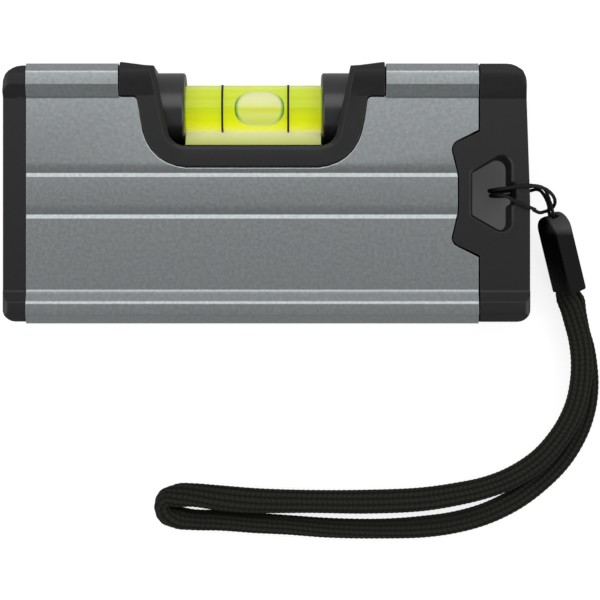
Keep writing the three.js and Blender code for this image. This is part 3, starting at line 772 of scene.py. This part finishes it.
def seat_weight(a, b, first, second):
    """1 for the edges that the cutter left round the seat of the vial, in the flat faces."""
    wall = min(abs(first.z), abs(second.z)) < WALL_SLOPE
    level = max(abs(first.z), abs(second.z)) > FACE_SLOPE
    in_face = all(
        by_seat(v) and FACE_DEPTHS[0] < abs(v.z - MIDDLE_Z * MM) < FACE_DEPTHS[1] for v in (a, b))
    return 1.0 if wall and level and in_face else 0.0


def length_weight(a, b, first, second):
    """1 for the edges along the level that face the light, less for the other long ones."""
    lengthwise = abs(a.x - b.x) > LENGTHWISE * (a - b).length and (a - b).length > LONG_EDGE
    flattest = min(abs(first.z), abs(second.z))
    if not lengthwise:
        return 0.0
    lit = (first + second).y > 0 and LIT_SLOPES[0] < flattest < LIT_SLOPES[1]
    return 1.0 if lit else NARROW_EDGE


print("lit edges are", WIDEST_EDGE / MM, "mm wide")

# %% [markdown]
# The profile is extruded aluminium, blasted with fine beads and anodised in its natural grey.
# Blasting leaves a satin surface: it mirrors the room only as a soft sheen, which a metal shader
# of medium roughness gives. An image of real grain could be laid over it, but noise does as well
# and has no seams. The real grain is finer than a tenth of a millimetre and wouldn't show in the
# render, so it is drawn coarser: 0.6 mm in colour and roughness, and 0.2 mm in relief.

# %% Anodised aluminium
DARK_BELOW = 0.3
LIGHT_ABOVE = 0.7


def speckle(tree, size):
    """Noise with grains of about that size, in metres."""
    where = add(tree, "TexCoord").outputs["Object"]
    return add(tree, "TexNoise", Vector=where, Scale=1 / size)


def mottle(tree, shader, size, darker, lighter):
    """Lets the colour of a shader vary between two, in grains of that size. Returns the grain."""
    grain = speckle(tree, size)
    stops = ((DARK_BELOW, darker), (LIGHT_ABOVE, lighter))
    colour = add(tree, "ValToRGB", stops=stops, Fac=grain)
    connect(tree, shader, Base_Color=colour)
    return grain


def roughen(tree, shader, size, strength, depth):
    """Gives a shader a relief with grains of that size and a depth in metres."""
    bump = add(tree, "Bump", Height=speckle(tree, size), Strength=strength, Distance=depth)
    connect(tree, shader, Normal=bump)


aluminium, tree, shader = new_material("anodised_aluminium_blasted", Metallic=1.0)
grain = mottle(tree, shader, size=0.6 * MM, darker="#b2b7b9", lighter="#bfc5c7")
satin = add(tree, "MapRange", Value=grain, To_Min=0.254, To_Max=0.268)
connect(tree, shader, Roughness=satin)
roughen(tree, shader, size=0.2 * MM, strength=0.02, depth=0.02 * MM)
print(aluminium.name, "has", len(tree.nodes), "nodes")

# %% [markdown]
# The steps for the profile follow the work on the real one. One corner in each lower arc of the
# seat is moved along the arc first, because it lies closer to a groove than the rim is wide, and
# the bevel would fold there. The section is worn, the rim is cut, and its inner points are moved
# out again to slant it, since a cutter's rim is flatter than 45 degrees. The long edges come last.

# %% Profile
SEAT_EDGE = 0.4 * MM
# How deep the rim goes, as a share of its width
SEAT_SLANT = 0.36
SEAT_CORNER = 5.79 * MM
SEAT_CORNER_SHIFT = (0.3 * MM, 0.19 * MM)
# Between these distances from the middle of the thickness lie the inner points of the rim
RIM_DEPTHS = (7.9 * MM, 8.2 * MM)
POINT_WITHIN = 0.02 * MM

profile = copy_of("body_extrusion", "profile_anodised")
for vertex in profile.data.vertices:
    off_seat = vertex.co.x - SEAT_MIDDLE
    if abs(off_seat) < SEAT_HALF and abs(vertex.co.y - SEAT_CORNER) < POINT_WITHIN:
        vertex.co.x += math.copysign(SEAT_CORNER_SHIFT[0], off_seat)
        vertex.co.y += SEAT_CORNER_SHIFT[1]
wear_section(profile, 0)
bevel_by_weight(profile, SEAT_EDGE, segments=1, weight_of=seat_weight)
for vertex in profile.data.vertices:
    off_middle = vertex.co.z - MIDDLE_Z * MM
    if by_seat(vertex.co) and RIM_DEPTHS[0] < abs(off_middle) < RIM_DEPTHS[1]:
        vertex.co.z += math.copysign((1 - SEAT_SLANT) * SEAT_EDGE, off_middle)
bevel_by_weight(profile, WIDEST_EDGE, segments=3, weight_of=length_weight)
soften(profile, radius=0.05 * MM, segments=1, angle=35)
place(profile, aluminium, "profile", "body_extrusion")
print("profile", len(profile.data.polygons), "faces")

# %% [markdown]
# Caps and carrier are moulded in black ABS from a mould with an eroded, finely textured surface.
# It looks charcoal rather than black, because the texture spreads the light of the room. The
# texture is finer than the render shows, so it is drawn with grains of 0.3 mm.
#
# The solids leave a seam of 0.25 mm round each cap and carrier. The real ones are pressed home,
# and such a seam would show as a black line. The pieces could be scaled up, but that would move
# their other edges, so only the outer walls of the carrier and the shoulder of the left cap are
# moved, until a hair's breadth is left. The lower loop of the carrier's lip also stands a
# little higher at the floor of the opening than in the solid.

# %% Seams and lip
LEFT_SHOULDER = -45.85 * MM
CARRIER_HEAD = 17.5 * MM
OUTER_WALL_SLOPE = 0.3
SEAM_FILLED = 0.18 * MM
LIP_DEPTH = 8.1 * MM
LIP_FOOT = 8.88 * MM
LIP_TOP = 11.7 * MM
LIP_RISE = 0.6 * MM


def fill_seam(piece):
    """Moves the outer walls of the carrier closer to the seat, so that no dark gap shows."""
    walls = {}
    for side in piece.data.polygons:
        centre, normal = side.center, side.normal
        outward = normal.x * (centre.x - SEAT_MIDDLE) + normal.y * (centre.y - CARRIER_HEAD) > 0
        if outward and abs(normal.z) < OUTER_WALL_SLOPE and centre.y < CARRIER_HEAD:
            for index in side.vertices:
                walls.setdefault(index, []).append(normal.copy())
    for index, normals in walls.items():
        piece.data.vertices[index].co += SEAM_FILLED * sum(normals, Vector()).normalized()
    print(piece.name, "has", len(walls), "points moved out to the seat")


def raise_lip(piece):
    """Lets the lower loop of the carrier's lip stand higher, most at its foot."""
    for vertex in piece.data.vertices:
        off_middle = vertex.co.z - MIDDLE_Z * MM
        share = (LIP_TOP - vertex.co.y) / (LIP_TOP - LIP_FOOT)
        if abs(abs(off_middle) - LIP_DEPTH) < POINT_WITHIN and share > 0:
            vertex.co.z += math.copysign(LIP_RISE * share, off_middle)


def fill_shoulder(piece):
    """Moves the shoulder of the left cap closer to the end of the profile."""
    for vertex in piece.data.vertices:
        if abs(vertex.co.x - LEFT_SHOULDER) < POINT_WITHIN:
            vertex.co.x += SEAM_FILLED


print("seams are filled by", round(SEAM_FILLED / MM, 2), "mm")

# %% Black caps and carrier
# In millimetres: how far the faces of the caps lie behind those of the profile
CAP_INSET = 0.15

black_abs, tree, shader = new_material("moulded_abs_black", Roughness=0.34, IOR=1.5)
mottle(tree, shader, size=0.3 * MM, darker="#141414", lighter="#1a1a1a")
roughen(tree, shader, size=0.25 * MM, strength=0.2, depth=0.03 * MM)

cap_left = copy_of("end_cap_left", "cap_left")
cap_right = copy_of("end_cap_right", "cap_right")
for cap in (cap_left, cap_right):
    wear_section(cap, CAP_INSET)
fill_shoulder(cap_left)
carrier = copy_of("vial_carrier", "carrier_moulded")
fill_seam(carrier)
raise_lip(carrier)
for piece, node in (
    (cap_left, "end_cap_left"), (cap_right, "end_cap_right"), (carrier, "vial_carrier"),
):
    soften(piece, radius=0.12 * MM, segments=2, angle=30)
    place(piece, black_abs, "cap", node)
    print(piece.name, len(piece.data.polygons), "faces")

# %% [markdown]
# The sleeves that hold the ends of the tube are turned or moulded with a polished surface, so
# they mirror the soft box as clear bands. In the photograph they reach further out than the
# solids, and the faces towards the window lean a little. Two new cylinders would do, but the
# copies already have the right bore, so their ends are moved. Polishing leaves faint patches of
# about 2 mm in the black.

# %% Polished sleeves
SLEEVE_REACH = 0.6 * MM
SLEEVE_LEAN = 0.35 * MM
gloss_black, tree, shader = new_material(
    "moulded_abs_polished", Roughness=0.28, IOR=1.5, Specular_IOR_Level=1.0)
mottle(tree, shader, size=2 * MM, darker="#1c1c1e", lighter="#212123")
for side, outward in (("left", -1), ("right", 1)):
    piece = copy_of("vial_sleeve_" + side, "sleeve_" + side)
    low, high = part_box("vial_sleeve_" + side)
    for vertex in piece.data.vertices:
        if (vertex.co.x - (low.x + high.x) / 2) * outward > 0:
            vertex.co.x += outward * SLEEVE_REACH
        else:
            rise = (vertex.co.z - low.z) / (high.z - low.z)
            vertex.co.x += outward * SLEEVE_LEAN * rise
    soften(piece, radius=0.12 * MM, segments=2, angle=25)
    place(piece, gloss_black, "sleeve", "vial_sleeve_" + side)
    print(piece.name, len(piece.data.polygons), "faces")

# %% [markdown]
# The vial is a clear acrylic tube filled with yellow-green liquid. Acrylic bends light so
# strongly that the liquid seems to fill the tube to its rim. A tinted tube without liquid would
# be simpler, but it couldn't show that, so tube, liquid and bubble are made apart. The tube is
# the copy of its solid, smoothed but with its ends left sharp, as cut tube is.

# %% Tube
CREASE = math.radians(40)
acrylic, tree, shader = new_material(
    "cast_acrylic_clear", Base_Color=linear("#fdfef2"), Roughness=0.02, IOR=1.49,
    Transmission_Weight=1.0)
tube = copy_of("vial_tube", "tube_acrylic")
only(tube)
bpy.ops.object.shade_smooth_by_angle(angle=CREASE)
place(tube, acrylic, "tube", "vial_tube")
print("tube", len(tube.data.polygons), "faces")

# %% [markdown]
# The liquid is a plain cylinder. The solid has a channel in it for the bubble, whose walls would
# show through the tube, so the cylinder is made new: it is added along X on the axis of the tube,
# and its end rims are bevelled, as a liquid that wets its vessel has no sharp corner. It touches
# the bore, so it is a hair wider than the bore, and no layer of air shows between them.

# %% Liquid
BORE_RADIUS = 3.7 * MM
WETTING = 0.05 * MM
BEHIND_SLEEVE = 0.6 * MM
LIQUID_FACETS = 96
LIQUID_RIM = 0.1 * MM
low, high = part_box("vial_liquid")
vial_axis = (low + high) / 2
plug_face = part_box("vial_plug")[0].x
LIQUID_LENGTH = plug_face - low.x + 2 * BEHIND_SLEEVE
liquid_middle = ((plug_face + low.x) / 2, vial_axis.y, vial_axis.z)

bpy.ops.object.select_all(action="DESELECT")
bpy.ops.mesh.primitive_cylinder_add(
    vertices=LIQUID_FACETS, radius=BORE_RADIUS + WETTING, depth=LIQUID_LENGTH,
    location=liquid_middle, rotation=(0, math.radians(90), 0))
liquid = bpy.context.object
liquid.name = "liquid_dyed"
bpy.ops.object.transform_apply(location=True, rotation=True, scale=True)
bevel = liquid.modifiers.new("rim", "BEVEL")
bevel.width = LIQUID_RIM
bevel.segments = 3
bevel.limit_method = "ANGLE"
bevel.angle_limit = CREASE
bpy.ops.object.modifier_apply(modifier=bevel.name)
bpy.ops.object.shade_smooth_by_angle(angle=CREASE)
print("liquid", round(LIQUID_LENGTH / MM, 1), "mm long")

# %% [markdown]
# The dye glows a little in daylight, which is why such vials are so easy to read. A clear tinted
# liquid with a real glow would be the true way, but it needs many bounces of light and still
# stays noisy. So the liquid is a solid colour that glows softly, and its glow is partly painted
# light that stands in for the light through the liquid. Its shade up the vial is painted light
# and shade, as the tube bends the light: brightest along its lower rim, deep at mid-height and
# bright again near the top. By the sleeves a painted shadow darkens it.

# %% Dyed liquid and its painted light
SEEN_HALF = 3.65 * MM
SHADOW_REACH = 0.1 * MM
# Painted light and shade up the vial, from the lower rim of the liquid to its top
LIQUID_PAINTED_LIGHT = (
    (0.0, "#ffffa8"), (0.045, "#fbff40"), (0.12, "#f6fb16"), (0.36, "#dfeb1c"),
    (0.5, "#d7e522"), (0.63, "#d6e522"), (0.78, "#dcea40"), (0.86, "#e3f150"),
    (0.93, "#e3f13c"), (1.0, "#f1fd86"))
# The colour of the liquid under the painted shadow of the sleeves
LIQUID_IN_SHADOW = "#6f9a20"
window_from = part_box("vial_sleeve_left")[1].x
window_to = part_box("vial_sleeve_right")[0].x
window_middle = (window_from + window_to) / 2
window_half = (window_to - window_from) / 2

dye, tree, shader = new_material("dye_and_painted_light", Roughness=0.3, IOR=1.33, Specular_IOR_Level=0.0)
x, y, _ = object_place(tree)
up_vial = add(
    tree, "MapRange", Value=y,
    From_Min=vial_axis.y - SEEN_HALF, From_Max=vial_axis.y + SEEN_HALF)
painted_band = add(tree, "ValToRGB", stops=LIQUID_PAINTED_LIGHT, Fac=up_vial)
offset = add(tree, "Math", {"operation": "SUBTRACT"}, _0=x, _1=window_middle)
from_middle = add(tree, "Math", {"operation": "ABSOLUTE"}, _0=offset)
sleeve_shadow = add(
    tree, "MapRange", Value=from_middle,
    From_Min=window_half - SHADOW_REACH, From_Max=window_half + SLEEVE_LEAN)
# Inputs 0, 6 and 7 of a colour Mix are its factor and its two colours, and output 2 is the mix
colour = add(
    tree, "Mix", {"data_type": "RGBA"}, _0=sleeve_shadow, _6=painted_band,
    _7=linear(LIQUID_IN_SHADOW)).outputs[2]
# The glow is partly the dye's own and partly painted light for the light through the liquid
connect(tree, shader, Base_Color=colour, Emission_Color=colour, Emission_Strength=0.4)
place(liquid, dye, "liquid", "vial_liquid")
print("the window over the liquid is", round(2 * window_half / MM, 1), "mm long")

# %% [markdown]
# The bubble is pressed against the upper wall of the bore, so its top follows the bore and its
# outline is a long rounded patch. A stretched sphere alone would leave a gap to the wall, so the
# sphere is added, stretched, and wrapped round the axis of the tube: its height above the middle
# becomes a distance from the axis.

# %% Bubble
BUBBLE_HALF_LENGTH = 4.75 * MM
BUBBLE_HALF_ANGLE = math.radians(55)
BUBBLE_SKIN = BORE_RADIUS + WETTING
BUBBLE_RISE = 0.12 * MM
BUBBLE_DEPTH = 2.4 * MM
# 2 would draw its outline as an oval, and a higher power is squarer
OUTLINE_POWER = 2.3
low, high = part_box("bubble")
bubble_middle = (low.x + high.x) / 2

bpy.ops.object.select_all(action="DESELECT")
bpy.ops.mesh.primitive_uv_sphere_add(segments=64, ring_count=33, radius=1)
bubble = bpy.context.object
bubble.name = "bubble_air"
for vertex in bubble.data.vertices:
    x, y, z = vertex.co
    reach = math.hypot(x, y)
    square = (abs(x) ** OUTLINE_POWER + abs(y) ** OUTLINE_POWER) ** (1 / OUTLINE_POWER)
    swell = reach / square if reach else 1
    turned = BUBBLE_HALF_ANGLE * y * swell
    distance = BUBBLE_SKIN + (BUBBLE_RISE if z > 0 else BUBBLE_DEPTH) * z
    vertex.co = (
        bubble_middle + BUBBLE_HALF_LENGTH * x * swell,
        vial_axis.y + distance * math.sin(turned),
        vial_axis.z + distance * math.cos(turned))
only(bubble)
bpy.ops.object.shade_smooth()
print("bubble", round(2 * BUBBLE_HALF_LENGTH / MM, 1), "mm long")

# %% [markdown]
# The bubble is painted with the light of air behind clear liquid: a pale painted reflection
# where it mirrors the light, deeper across the middle, a painted green at the two ends where it
# bends light away, and a silvery painted rim. A clear bubble in a clear liquid would show this by
# itself. Here the liquid is solid, so this painted light is laid on the bubble by where a point
# lies in its outline, and a soft glow on it is painted light too.

# %% Painted light on the bubble
BUBBLE_HALF_SPAN = (BUBBLE_SKIN + BUBBLE_RISE) * math.sin(BUBBLE_HALF_ANGLE)
RIM_FROM = 0.84
RIM_FULLY = 0.97
END_NARROWNESS = 3.0
# Painted light across the bubble, from its lower side to its upper side
BUBBLE_PAINTED_LIGHT = (
    (0.0, "#dce466"), (0.3, "#f2f98c"), (0.47, "#e6ee54"), (0.62, "#f2f5b0"),
    (0.85, "#ffffd0"), (1.0, "#f6fac8"))
# Painted rim: silvery along the sides, green at the two ends
RIM_PAINTED_LIGHT = ((0.0, "#e6f0bc"), (0.45, "#c6da84"), (0.9, "#3f9636"))

air, tree, shader = new_material("bubble_painted_light", Roughness=0.12, IOR=1.33)
where = add(tree, "TexCoord").outputs["Object"]
in_outline = add(
    tree, "Mapping", Vector=where,
    Location=(-bubble_middle / BUBBLE_HALF_LENGTH, -vial_axis.y / BUBBLE_HALF_SPAN, 0),
    Scale=(1 / BUBBLE_HALF_LENGTH, 1 / BUBBLE_HALF_SPAN, 1))
x, y, _ = add(tree, "SeparateXYZ", Vector=in_outline).outputs
across = add(tree, "MapRange", Value=y, From_Min=-1.0, From_Max=1.0)
painted_band = add(tree, "ValToRGB", stops=BUBBLE_PAINTED_LIGHT, Fac=across)
along = add(tree, "Math", {"operation": "ABSOLUTE"}, _0=x)
aside = add(tree, "Math", {"operation": "ABSOLUTE"}, _0=y)
along_power = add(tree, "Math", {"operation": "POWER"}, _0=along, _1=OUTLINE_POWER)
aside_power = add(tree, "Math", {"operation": "POWER"}, _0=aside, _1=OUTLINE_POWER)
powers = add(tree, "Math", {"operation": "ADD"}, _0=along_power, _1=aside_power)
outline = add(tree, "Math", {"operation": "POWER"}, _0=powers, _1=1 / OUTLINE_POWER)
rim = add(tree, "MapRange", Value=outline, From_Min=RIM_FROM, From_Max=RIM_FULLY)
to_end = add(tree, "Math", {"operation": "DIVIDE"}, _0=along, _1=outline)
ends = add(tree, "Math", {"operation": "POWER"}, _0=to_end, _1=END_NARROWNESS)
painted_rim = add(tree, "ValToRGB", stops=RIM_PAINTED_LIGHT, Fac=ends)
colour = add(
    tree, "Mix", {"data_type": "RGBA"}, _0=rim, _6=painted_band, _7=painted_rim).outputs[2]
# The glow of the bubble is painted light
connect(tree, shader, Base_Color=colour, Emission_Color=colour, Emission_Strength=0.3)
place(bubble, air, "bubble", "bubble", body="bubble")
print(air.name, "has", len(tree.nodes), "nodes")

# %% [markdown]
# Under the tube lies a saddle of pale plastic that throws light back through the liquid. It is a
# copy of its solid, a little longer at each end, as in the photograph. Its lower part looks
# tinted, because the light there has crossed the liquid many times. That is slow to render, so
# the tint is painted light in the colour of the saddle, and its top edge by the rim of the tube
# carries a painted highlight in white.

# %% Saddle
SADDLE_REACH = 0.35 * MM
PAINTED_TINT_BELOW = 9 * MM
PAINTED_WHITE_ABOVE = 11.8 * MM
# Painted light from the vial: tinted below, a white painted highlight at the top edge
SADDLE_PAINTED_LIGHT = ((0.0, "#dde584"), (0.55, "#f8fdaf"), (0.8, "#fffee0"), (1.0, "#ffffff"))
pale, tree, shader = new_material("moulded_saddle_pale", Roughness=0.5)
_, y, _ = object_place(tree)
up_saddle = add(tree, "MapRange", Value=y, From_Min=PAINTED_TINT_BELOW, From_Max=PAINTED_WHITE_ABOVE)
connect(tree, shader, Base_Color=add(tree, "ValToRGB", stops=SADDLE_PAINTED_LIGHT, Fac=up_saddle))
saddle = copy_of("vial_reflector", "saddle_pale")
low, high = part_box("vial_reflector")
for vertex in saddle.data.vertices:
    side = 1 if vertex.co.x > (low.x + high.x) / 2 else -1
    vertex.co.x += side * SADDLE_REACH
soften(saddle, radius=0.15 * MM, segments=2, angle=25)
place(saddle, pale, "reflector", "vial_reflector")
print("saddle", round((high.x - low.x + 2 * SADDLE_REACH) / MM, 1), "mm long")

# %% [markdown]
# A rubber plug closes the tube inside the right sleeve, and the two rings that the bubble is read
# against are painted on the tube. Rings in the material of the tube would be flat, so they keep
# their own thin solids. These leave a gap of 0.1 mm to the tube, which paint doesn't, so the
# copies are drawn in until they lie on it. Rubber and paint vary a little, in patches of 1 mm.

# %% Plug and rings
RING_FIT = 0.983
rubber, tree, shader = new_material("rubber_plug_dark", Roughness=0.6)
mottle(tree, shader, size=1 * MM, darker="#26330c", lighter="#2c3a10")
plug = soften(copy_of("vial_plug", "plug_rubber"), radius=0.15 * MM, segments=2, angle=40)
place(plug, rubber, "reflector", "vial_plug")

paint, tree, shader = new_material("painted_ring_black", Roughness=0.5)
mottle(tree, shader, size=1 * MM, darker="#141c0a", lighter="#1a220e")
for side in ("left", "right"):
    ring = copy_of("vial_line_" + side, "ring_" + side)
    low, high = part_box("vial_line_" + side)
    middle = (low + high) / 2
    for vertex in ring.data.vertices:
        offset = vertex.co - middle
        vertex.co = middle + Vector((offset.x, offset.y * RING_FIT, offset.z * RING_FIT))
    only(ring)
    bpy.ops.object.shade_smooth_by_angle(angle=CREASE)
    place(ring, paint, "line", "vial_line_" + side)
    print(ring.name, "at x", round(middle.x / MM, 1), "mm")

# %% [markdown]
# The buckle is a small sleeve of black nylon with a round end. On the outer side of the round end,
# where it turns to the light, a painted highlight makes its colour grey. A highlight from noise
# would be scattered, but this one has one clear place, so two ramps, one along the buckle and one
# across it, are multiplied.

# %% Buckle
HIGHLIGHT_FROM = -8.0 * MM
HIGHLIGHT_FULLY = -6.6 * MM
OUTER_FROM = 53.6 * MM
OUTER_FULLY = 54.6 * MM
nylon, tree, shader = new_material(
    "moulded_nylon_black", Roughness=0.3, IOR=1.5, Specular_IOR_Level=0.08)
x, y, _ = object_place(tree)
round_end = add(tree, "MapRange", Value=y, From_Min=HIGHLIGHT_FROM, From_Max=HIGHLIGHT_FULLY)
outer = add(tree, "MapRange", Value=x, From_Min=OUTER_FROM, From_Max=OUTER_FULLY)
painted_highlight = add(tree, "Math", {"operation": "MULTIPLY"}, _0=round_end, _1=outer)
# A painted highlight: grey on the outer side of the round end
colour = add(tree, "ValToRGB", stops=((0.0, "#0a0a0a"), (1.0, "#4c4c4c")), Fac=painted_highlight)
connect(tree, shader, Base_Color=colour)
buckle = soften(
    copy_of("lanyard_buckle", "buckle_moulded"), radius=0.25 * MM, segments=3, angle=25)
place(buckle, nylon, "buckle", "lanyard_buckle")
print("buckle", len(buckle.data.polygons), "faces")

# %% [markdown]
# Both cords are black polyester. The braid is matt, with a faint olive cast where light grazes
# it. Its colour could come from a pattern on its own, but it follows an attribute of the mesh
# instead, which is 1 on a crest and 0 between two ribs: so the two never part. The hollows of the
# weave are darker by painted shade, and so is the lower run where the upper run covers it. The
# single fibres are too fine to show in the render, so they are drawn coarser: as a fuzz of 0.4 mm
# on the braid and a speckle of 0.2 mm on the thread. The thread's knot sits in the buckle.

# %% Cord finishes
FUZZ = 0.15
braid, tree, shader = new_material(
    "polyester_braid_black", Roughness=0.8, Specular_IOR_Level=0.15)
weave_shade = add(tree, "Attribute", {"attribute_name": "weave_shade"}).outputs["Fac"]
fuzz = add(tree, "MapRange", Value=speckle(tree, 0.4 * MM), To_Min=-FUZZ, To_Max=FUZZ)
height = add(
    tree, "Math", {"operation": "ADD", "use_clamp": True}, _0=weave_shade, _1=fuzz)
colour = add(
    tree, "ValToRGB", stops=((0.0, "#0f0f0c"), (0.5, "#1f1f1a"), (1.0, "#2e2d29")), Fac=height)
connect(tree, shader, Base_Color=colour)
place(strap, braid, "strap", "lanyard_strap")

yarn, tree, shader = new_material(
    "polyester_thread_black", Roughness=0.7, Specular_IOR_Level=0.3)
mottle(tree, shader, size=0.2 * MM, darker="#0c0c0a", lighter="#151512")
place(thread, yarn, "thread", "lanyard_thread")
knot = copy_of("thread_knot", "knot_in_buckle")
only(knot)
bpy.ops.object.shade_smooth()
place(knot, yarn, "thread", "thread_knot")
print("cords finished as", braid.name, "and", yarn.name)

# %% [markdown]
# The strap, the thread, the buckle and the knot all ride on the body of the level.

print("strap, thread, buckle and knot are placed")
